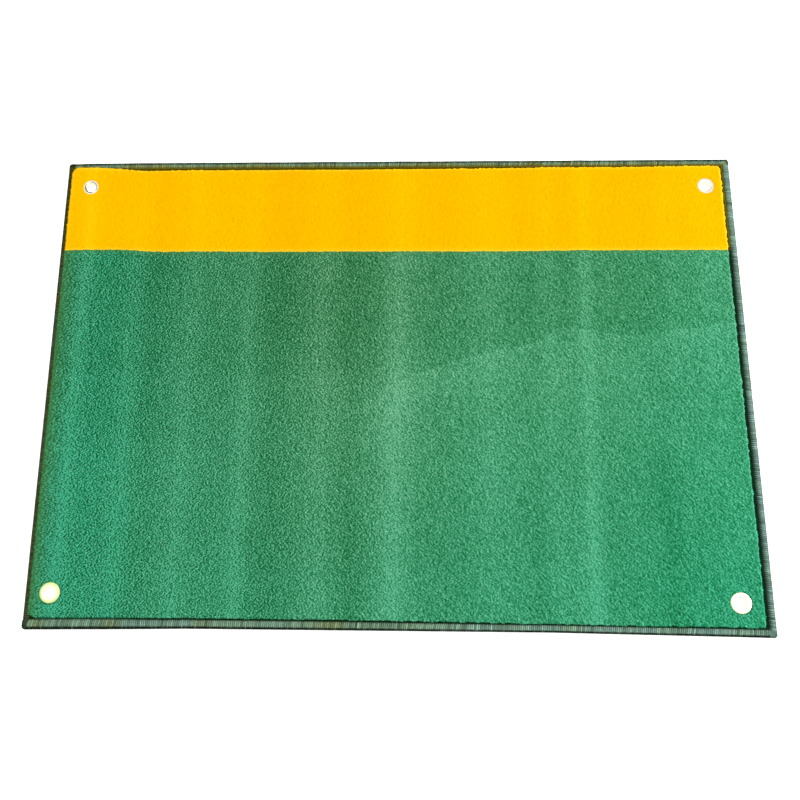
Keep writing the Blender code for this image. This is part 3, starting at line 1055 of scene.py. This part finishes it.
def make_serging(side, origin, degrees, length, drawn_in):
    """One yarn wound round the edge, from where it butts on the last side to past its corner."""
    end = length - CORNER_RADIUS + CORNER_RADIUS * math.pi / 2 + SERGING_WIDTH - CORNER_RADIUS
    turns = int((end - YARN_START) / TURN_PITCH)
    phase = np.linspace(0, 2 * math.pi * turns, turns * TURN_POINTS + 1)
    s = YARN_START + (end - YARN_START) * phase / phase[-1]
    seed = origin[0] + 3.1 * origin[1]
    slant = SLANT + SLANT_WANDER * slant_field(s, seed)
    s = s + PITCH_WANDER * pitch_field(s, seed) + slant * np.cos(phase)
    s = np.clip(s, YARN_START, end)
    across = 0.5 - 0.5 * signed_power(np.cos(phase), SECTION_POWER)
    rings, route = yarn_rings((side, origin, degrees, length, drawn_in), seed, phase, s, across)
    shades = yarn_shades(side, length, seed, turns, s, across, route[:, 1])
    faces = tube_faces(len(phase), YARN_SIDES)
    piece = new_piece("serging_yarn_" + side, rings.reshape(-1, 3), faces, YARN, attributes=shades)
    stand_for(piece, "serging_" + side)


for serging_side in SIDES:
    make_serging(*serging_side)


# --- needle thread

STITCH_LENGTH = 3.2 * MM
THREAD_RADIUS = 0.4 * MM
THREAD_SIDES = 6
STITCH_POINTS = 4
STITCH_DIP = 0.25 * MM
STITCH_SWAY = 0.12 * MM


def make_stitches(side):
    """A needle thread beside the serging, dipping into the pile at every stitch."""
    low, high = node_box("stitch_thread_" + side)
    middle = (low + high) / 2
    axis = int(high[1] - low[1] > high[0] - low[0])
    run = high[axis] - low[axis]
    count = int(run / STITCH_LENGTH) * STITCH_POINTS
    route = np.tile(middle, (count + 1, 1))
    route[:, axis] = np.linspace(low[axis], high[axis], count + 1)
    beat = np.arange(count + 1) * 2 * math.pi / STITCH_POINTS
    route[:, 2] = middle[2] + STITCH_DIP * np.cos(beat)
    route[:, 1 - axis] = route[:, 1 - axis] + STITCH_SWAY * np.sin(beat)
    if side == "front":
        route[:, 1] = route[:, 1] + front_spread(route[:, 0])
    angles = np.linspace(0, 2 * math.pi, THREAD_SIDES, endpoint=False)
    sideways = np.zeros(3)
    sideways[1 - axis] = 1 if axis == 0 else -1
    upward = np.array((0.0, 0.0, 1.0))
    rings = route[:, None, :] + THREAD_RADIUS * (
        np.cos(angles)[None, :, None] * sideways + np.sin(angles)[None, :, None] * upward
    )
    faces = tube_faces(count + 1, THREAD_SIDES)
    points = laid(rings).reshape(-1, 3)
    # A painted olive reflection of the yellow pile
    olive = smooth_step((points[:, 1] - YELLOW_FROM) / YELLOW_FADE)
    piece = new_piece("stitches_" + side, points, faces, THREAD, attributes={"olive": olive})
    stand_for(piece, "stitch_thread_" + side)


for thread_side in ("front", "left", "rear", "right"):
    make_stitches(thread_side)


# --- layers under the pile

BASE_STEP = 3.6 * MM
WAFFLE_PITCH = 4 * BASE_STEP
WAFFLE_DEPTH = 0.45 * MM
BASE_RIM_HEIGHT = 1.6 * MM
LAYER_STEP = 9 * MM
LAYERS = (("latex_coat", "latex", LATEX), ("primary_backing", "backing_cloth", CLOTH))


def make_layers():
    """The latex coat, and on it the backing cloth, which is the mat's one woven sheet."""
    for node, slot, material in LAYERS:
        low, high = node_box(node)
        layer = closed_slab(node + "_sheet", high, LAYER_STEP, lambda x, y: 0 * x + low[2], material)
        stand_for(layer, node)


def make_base():
    """The rubber base, with a waffle pressed into its foot and a thin rim in the serging."""
    high = node_box("rubber_base")[1]
    foot = (high[0] - SERGING_WIDTH, high[1] - SERGING_WIDTH)

    def under(x, y):
        waffle = np.abs(np.sin(math.pi * x / WAFFLE_PITCH) * np.sin(math.pi * y / WAFFLE_PITCH))
        inside = (np.abs(x) < foot[0]) & (np.abs(y) < foot[1])
        return np.where(inside, WAFFLE_DEPTH * waffle, BASE_RIM_HEIGHT)

    base = closed_slab("foam_base", high, BASE_STEP, under, RUBBER)
    stand_for(base, "rubber_base")


make_layers()
make_base()


# --- eyelets

ROUND_STEPS = 96
ARC_STEPS = 10
BRASS_WALL = 0.6 * MM
BORE_RADIUS = 6.35 * MM
FLAT_RADII = tuple(radius * MM for radius in (7.8, 7.95, 8.1, 8.3, 8.5, 8.8, 9.3, 10.3, 11.5))
CLINCH_RADIUS = 9.2 * MM
WASHER_EDGE = 0.15 * MM
WASHER_GAP = 0.45 * MM

# A thin dark line in each eyelet's mouth, a painted reflection of dark surroundings: its radius, where it
# is darkest in degrees, its strength there and its strength opposite
MOUTH_REFLECTION_WIDTH = 0.85 * MM
MOUTH_REFLECTION = {
    "front_left": (7.9 * MM, 200, 0.05, 0.02),
    "front_right": (8.3 * MM, -50, 0.05, 0.0),
    "rear_left": (7.8 * MM, 215, 1.0, 0.65),
    "rear_right": (8.0 * MM, -20, 0.35, 0.0),
}

# How much each eyelet's brass is painted pale as a highlight, and less so at its rim. Its mouth has a
# painted highlight between two radii, less on the pale ones. Its bore is painted bright, against the shade
# inside it.
HIGHLIGHT_PALENESS = {"front_left": 0.0, "front_right": 0.75, "rear_left": 0.7, "rear_right": 1.0}
MOUTH_HIGHLIGHT = 0.8
MOUTH_HIGHLIGHT_RADII = (8.5 * MM, 10.5 * MM)
BORE_LIGHT_EDGE = 0.6 * MM
RIM_RADII = (10.5 * MM, 12.5 * MM)


def arc(centre, radius, start, end):
    """Points (r, z) on an arc from one angle to another, in degrees."""
    angles = np.radians(np.linspace(start, end, ARC_STEPS + 1))
    return [(centre[0] + radius * math.cos(a), centre[1] + radius * math.sin(a)) for a in angles]


def eyelet_profile(low, high):
    """Section of the eyelet: over the flange, down the barrel, round the lip and up the bore."""
    flange_radius, top = (high[0] - low[0]) / 2, high[2]
    barrel = BORE_RADIUS + BRASS_WALL
    throat = FLAT_RADII[0] - BORE_RADIUS
    shoulder = flange_radius - FLAT_RADII[-1]
    mouth = (FLAT_RADII[0], top - throat)
    rim = (FLAT_RADII[-1], top - shoulder)
    lip = (barrel + BRASS_WALL, low[2] + 2 * BRASS_WALL)
    points = arc(mouth, throat, 180, 90) + [(radius, top) for radius in FLAT_RADII[1:-1]]
    points += arc(rim, shoulder, 90, 0)
    points += arc(rim, shoulder - BRASS_WALL, 0, 90) + arc(mouth, throat - BRASS_WALL, 90, 180)
    points += arc(lip, BRASS_WALL, 180, 270)
    points += arc((CLINCH_RADIUS - BRASS_WALL / 2, low[2] + BRASS_WALL / 2), BRASS_WALL / 2, 90, -90)
    return points + arc(lip, 2 * BRASS_WALL, 270, 180)


def washer_profile(low, high):
    """Section of the washer under the mat: a flat ring with bevelled edges."""
    outer, inner = (high[0] - low[0]) / 2, BORE_RADIUS + BRASS_WALL + WASHER_GAP
    across = (inner, inner + WASHER_EDGE, outer - WASHER_EDGE, outer)
    bevel = np.array((WASHER_EDGE, 0, 0, WASHER_EDGE))
    return list(zip(across, high[2] - bevel)) + list(zip(across, low[2] + bevel))[::-1]


def brass_painted_light(corner, radius, angle):
    """How much painted dark reflection, painted paleness and painted highlight an eyelet has at a place.
    """
    line, darkest, strength, opposite = MOUTH_REFLECTION[corner]
    facing = np.cos(angle - math.radians(darkest))
    strength = strength * smooth_step(facing * 1.6) + opposite * smooth_step(-facing * 1.6)
    tarnish_and_reflection = strength * np.exp(-(((radius - line) / MOUTH_REFLECTION_WIDTH) ** 2))
    painted_highlight = MOUTH_HIGHLIGHT * smooth_step((MOUTH_HIGHLIGHT_RADII[1] - radius) / np.ptp(MOUTH_HIGHLIGHT_RADII))
    painted_bore_light = smooth_step((FLAT_RADII[0] - radius) / BORE_LIGHT_EDGE)
    painted_highlight = np.maximum(painted_highlight * (1 - 0.5 * HIGHLIGHT_PALENESS[corner]), painted_bore_light)
    pale = HIGHLIGHT_PALENESS[corner] * (1 - 0.5 * smooth_step((radius - RIM_RADII[0]) / np.ptp(RIM_RADII)))
    return tarnish_and_reflection, pale, painted_highlight


def make_turned(name, node, profile):
    """Turn a closed section about the node's vertical axis."""
    low, high = node_box(node)
    section = np.array(profile(low, high))
    radius = section[:, 0]
    angles = np.linspace(0, 2 * math.pi, ROUND_STEPS, endpoint=False)
    centre = (low + high) / 2
    x = centre[0] + radius * np.cos(angles)[:, None]
    y = centre[1] + radius * np.sin(angles)[:, None]
    z = np.broadcast_to(section[:, 1], x.shape)
    points = np.stack((x, y, z), -1).reshape(-1, 3)
    index = np.arange(len(points)).reshape(x.shape)
    ahead, along = np.roll(index, -1, axis=0), np.roll(index, -1, axis=1)
    quads = np.stack((index, along, np.roll(ahead, -1, axis=1), ahead), -1).reshape(-1, 4)
    # Painted light on the brass: the dark reflection only on the top, the pale highlight, and the bright
    # mouth and bore
    tarnish_and_reflection, pale, painted_highlight = brass_painted_light(node.split("_", 1)[1], radius, angles[:, None])
    looks = {"tarnish_and_reflection": np.where(z > centre[2], tarnish_and_reflection, 0), "pale": pale, "painted_highlight": painted_highlight}
    looks = {wear: np.broadcast_to(values, x.shape) for wear, values in looks.items()}
    piece = new_piece(name, points, quads.tolist(), BRASS, attributes=looks)
    piece.data.set_sharp_from_angle(angle=math.radians(40))
    stand_for(piece, node)


for corner_name in CORNERS:
    make_turned("brass_eyelet_" + corner_name, "eyelet_" + corner_name, eyelet_profile)
    make_turned("brass_washer_" + corner_name, "washer_" + corner_name, washer_profile)


# --- floor, light and camera

FLOOR_SIDE = 12
FLOOR_DROP = 0.2 * MM


def make_floor():
    bpy.ops.mesh.primitive_plane_add(size=FLOOR_SIDE, location=(0, 0, -FLOOR_DROP))
    floor = bpy.context.object
    floor.name = "studio_floor"
    floor.data.materials.append(floor_material())


# Soft lights that face the middle of the mat: place, sides and power
LIGHTS = {
    "key": ((1.7, 0.05, 1.25), (1.0, 1.3), 37),
    "overhead": ((0.0, 0.6, 2.2), (2.2, 1.6), 13),
}


def area_light(name, place, size, power):
    data = bpy.data.lights.new(name, "AREA")
    data.shape = "RECTANGLE"
    data.size, data.size_y = size
    data.energy = power
    light = bpy.data.objects.new(name, data)
    light.location = place
    light.rotation_euler = (-Vector(place)).to_track_quat("-Z", "Y").to_euler()
    bpy.context.scene.collection.objects.link(light)


def make_world():
    """A pale studio, brighter overhead than near the horizon."""
    world = bpy.data.worlds.new("studio")
    world.use_nodes = True
    tree = world.node_tree
    direction = tree.nodes.new("ShaderNodeTexCoord").outputs["Generated"]
    parts = tree.nodes.new("ShaderNodeSeparateXYZ")
    tree.links.new(direction, parts.inputs["Vector"])
    background = tree.nodes["Background"]
    brightness = ramp(tree, parts.outputs["Z"], ((0.0, (0.45,) * 3), (1.0, (1.0,) * 3)))
    tree.links.new(brightness, background.inputs["Color"])
    background.inputs["Strength"].default_value = 1.4
    bpy.context.scene.world = world


# The camera looks down on the front half of the mat, turned by these degrees about X, Y and Z.
CAMERA_PLACE = (-0.0087, -0.2430, 0.9622)
CAMERA_TURN = (12.834, 1.582, 0.523)
CAMERA_LENS = 34.7
SENSOR_WIDTH = 36
CAMERA_SHIFT = 0.0434


def make_camera():
    data = bpy.data.cameras.new("camera")
    data.lens = CAMERA_LENS
    data.sensor_width = SENSOR_WIDTH
    data.shift_x = CAMERA_SHIFT
    data.clip_start = 0.01
    camera = bpy.data.objects.new("camera", data)
    camera.location = CAMERA_PLACE
    camera.rotation_euler = tuple(math.radians(angle) for angle in CAMERA_TURN)
    bpy.context.scene.collection.objects.link(camera)
    bpy.context.scene.camera = camera


make_floor()
make_world()
for light_name, light_settings in LIGHTS.items():
    area_light(light_name, *light_settings)
make_camera()
bpy.context.scene.view_settings.view_transform = "Standard"
